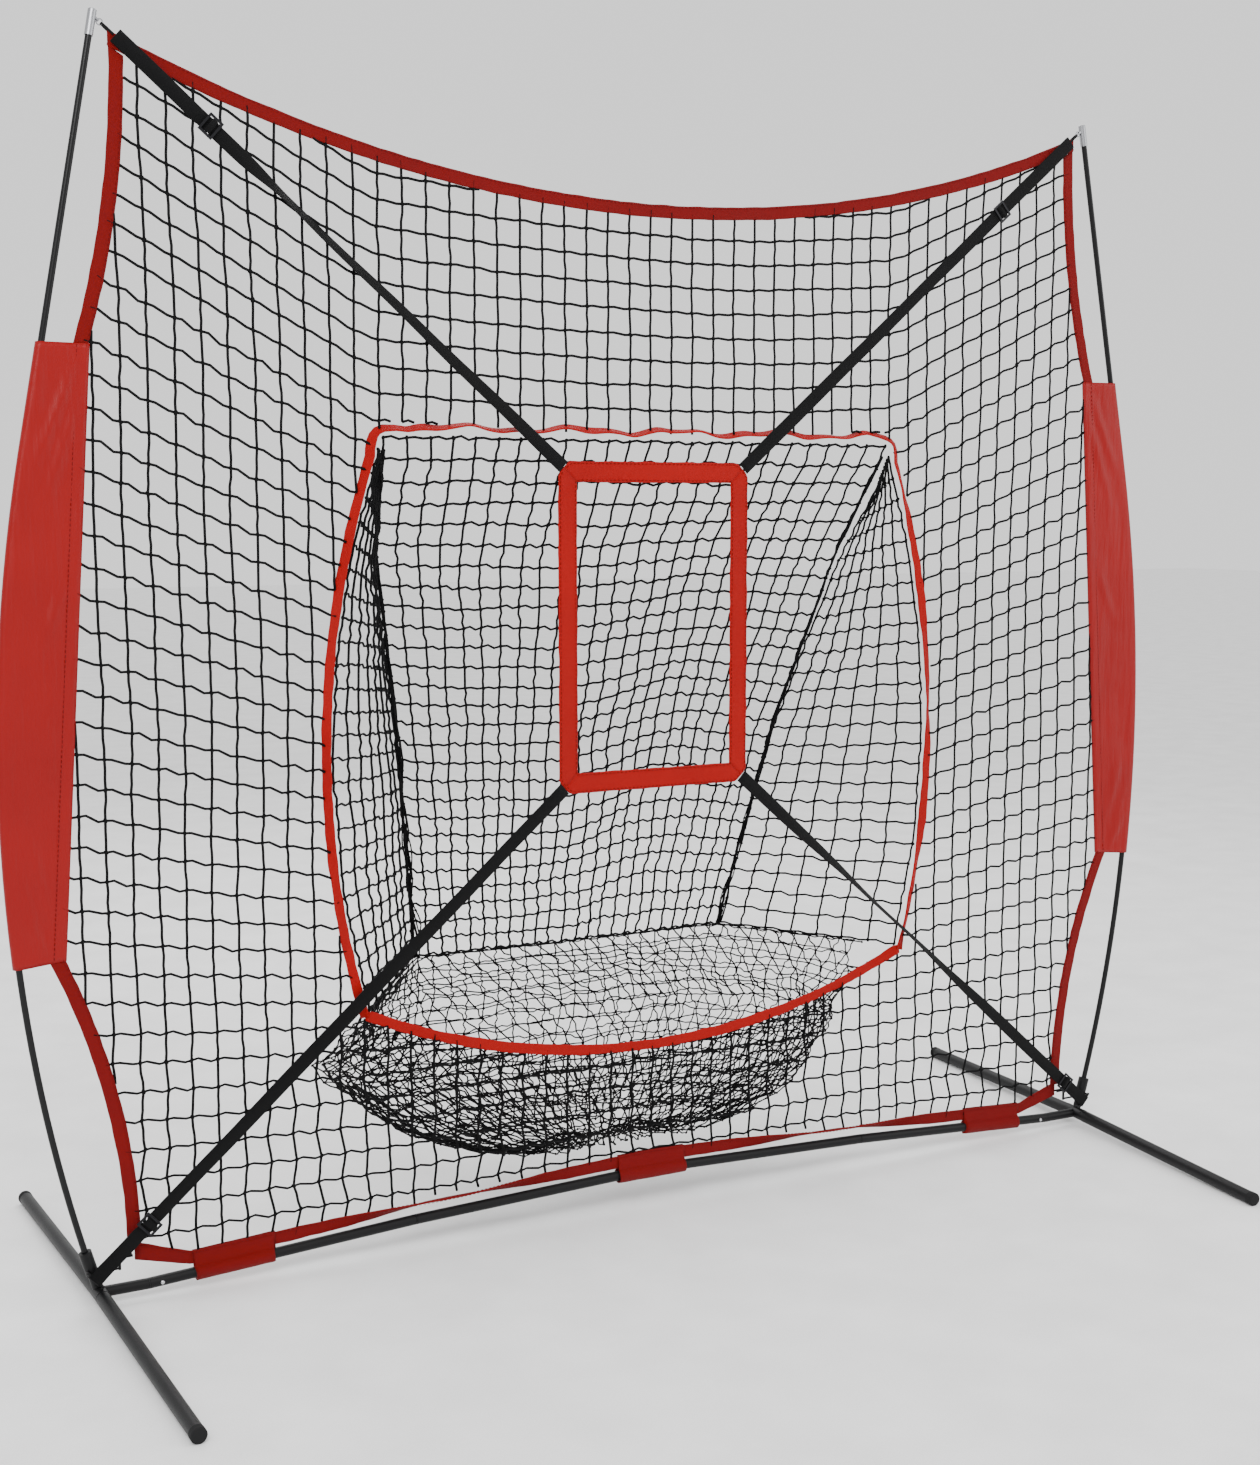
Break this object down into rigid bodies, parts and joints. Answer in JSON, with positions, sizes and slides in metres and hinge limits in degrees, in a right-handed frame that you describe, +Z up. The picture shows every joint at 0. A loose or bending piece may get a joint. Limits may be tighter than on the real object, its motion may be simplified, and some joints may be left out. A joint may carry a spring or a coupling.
{
  "type": "pitching target net",
  "caption": "Freestanding pitching net: bowed poles on a tube base hold a net with a ball pocket and a strap-hung strike-zone frame in front.",
  "frame": {"origin": "on the floor, under the middle of the base", "axes": "+X to the thrower's right along the crossbar, +Y away from the thrower towards the pocket's back, +Z up"},
  "size_m": [2.3876, 1.1154, 2.1338],
  "materials": {
    "hub_steel": "satin black powder coat",
    "tube_steel": "satin black powder coat",
    "end_cap_rubber": "matte black",
    "button_steel": "bright",
    "pole_fibreglass": "semi-gloss black",
    "ferrule_metal": "drawn",
    "tip_cap_metal": "satin silver",
    "ring_wire": "bright wire",
    "loop_webbing": "woven tape",
    "net_twine": "knotted black twine",
    "pocket_netting": "knotted black twine",
    "red_binding": "woven red binding",
    "red_tape": "woven red tape",
    "red_satin": "satin red cloth",
    "red_wrap": "woven red cloth",
    "zone_webbing": "woven red webbing",
    "strap_webbing": "woven black webbing",
    "slider_metal": "black with worn edges"
  },
  "bodies": {
    "base_and_net": {"hub_right": "hub_steel", "hub_left": "hub_steel", "foot_front_left": "tube_steel", "foot_back_left": "tube_steel", "crossbar_outer_left": "tube_steel", "crossbar_inner_left": "tube_steel", "pole_lower_left": "pole_fibreglass", "pole_middle_left": "pole_fibreglass", "pole_upper_left": "pole_fibreglass", "pole_ferrules_left": "ferrule_metal", "tip_cap_left": "tip_cap_metal", "tip_ring_left": "ring_wire", "corner_loop_upper_left": "loop_webbing", "corner_loop_lower_left": "loop_webbing", "side_sleeve_left": "red_satin", "pocket_gusset_left": "pocket_netting", "foot_front_right": "tube_steel", "foot_back_right": "tube_steel", "crossbar_outer_right": "tube_steel", "crossbar_inner_right": "tube_steel", "pole_lower_right": "pole_fibreglass", "pole_middle_right": "pole_fibreglass", "pole_upper_right": "pole_fibreglass", "pole_ferrules_right": "ferrule_metal", "tip_cap_right": "tip_cap_metal", "tip_ring_right": "ring_wire", "corner_loop_upper_right": "loop_webbing", "corner_loop_lower_right": "loop_webbing", "side_sleeve_right": "red_satin", "pocket_gusset_right": "pocket_netting", "foot_end_caps": "end_cap_rubber", "button_springs": "button_steel", "face_net": "net_twine", "binding_top": "red_binding", "binding_side_left": "red_binding", "binding_side_right": "red_binding", "binding_bottom": "red_binding", "mouth_tape": "red_tape", "crossbar_wrap_left": "red_wrap", "crossbar_wrap_middle": "red_wrap", "crossbar_wrap_right": "red_wrap", "pocket_back": "pocket_netting", "pocket_basin": "pocket_netting"},
    "strike_zone": {"strike_zone_frame": "zone_webbing", "strap_upper_left": "strap_webbing", "strap_upper_right": "strap_webbing", "strap_lower_left": "strap_webbing", "strap_lower_right": "strap_webbing"},
    "slider_upper_left": {"slider_upper_left": "slider_metal"},
    "slider_upper_right": {"slider_upper_right": "slider_metal"},
    "slider_lower_left": {"slider_lower_left": "slider_metal"},
    "slider_lower_right": {"slider_lower_right": "slider_metal"},
    "button_hub_left": {"snap_button_hub_left": "button_steel"},
    "button_quarter_left": {"snap_button_quarter_left": "button_steel"},
    "button_hub_right": {"snap_button_hub_right": "button_steel"},
    "button_quarter_right": {"snap_button_quarter_right": "button_steel"},
    "button_middle": {"snap_button_middle": "button_steel"}
  },
  "joints": [
    {"name": "strike_zone_height", "type": "slide", "parent": "base_and_net", "child": "strike_zone", "axis": [0, 0, 1], "range_m": [-0.15, 0.04], "deforming": ["strap_upper_left", "strap_upper_right", "strap_lower_left", "strap_lower_right"]},
    {"name": "slider_upper_left_slide", "type": "slide", "parent": "base_and_net", "child": "slider_upper_left", "axis": [0.8119, -0.0074, -0.5837], "range_m": [-0.10646, 0.02986]},
    {"name": "slider_upper_right_slide", "type": "slide", "parent": "base_and_net", "child": "slider_upper_right", "axis": [-0.8313, -0.0076, -0.5557], "range_m": [-0.10702, 0.03]},
    {"name": "slider_lower_left_slide", "type": "slide", "parent": "base_and_net", "child": "slider_lower_left", "axis": [-0.8539, -0.0019, -0.5204], "range_m": [-0.09946, 0.02799]},
    {"name": "slider_lower_right_slide", "type": "slide", "parent": "base_and_net", "child": "slider_lower_right", "axis": [0.8269, -0.0019, -0.5623], "range_m": [-0.09885, 0.02783]},
    {"name": "button_hub_left_press", "type": "slide", "parent": "base_and_net", "child": "button_hub_left", "axis": [0, -1, 0], "range_m": [-0.0034, 0], "stiffness_N_per_m": 1500, "springref_m": 0.001},
    {"name": "button_quarter_left_press", "type": "slide", "parent": "base_and_net", "child": "button_quarter_left", "axis": [0, 1, 0], "range_m": [-0.0034, 0], "stiffness_N_per_m": 1500, "springref_m": 0.001},
    {"name": "button_hub_right_press", "type": "slide", "parent": "base_and_net", "child": "button_hub_right", "axis": [0, -1, 0], "range_m": [-0.0034, 0], "stiffness_N_per_m": 1500, "springref_m": 0.001},
    {"name": "button_quarter_right_press", "type": "slide", "parent": "base_and_net", "child": "button_quarter_right", "axis": [0, 1, 0], "range_m": [-0.0034, 0], "stiffness_N_per_m": 1500, "springref_m": 0.001},
    {"name": "button_middle_press", "type": "slide", "parent": "base_and_net", "child": "button_middle", "axis": [0, 1, 0], "range_m": [-0.0034, 0], "stiffness_N_per_m": 1500, "springref_m": 0.001}
  ],
  "couplings": [
    {"joint": "slider_upper_left_slide", "follows": "strike_zone_height", "ratio": 0.69641},
    {"joint": "slider_upper_right_slide", "follows": "strike_zone_height", "ratio": 0.70012},
    {"joint": "slider_lower_left_slide", "follows": "strike_zone_height", "ratio": 0.64974},
    {"joint": "slider_lower_right_slide", "follows": "strike_zone_height", "ratio": 0.64567}
  ]
}
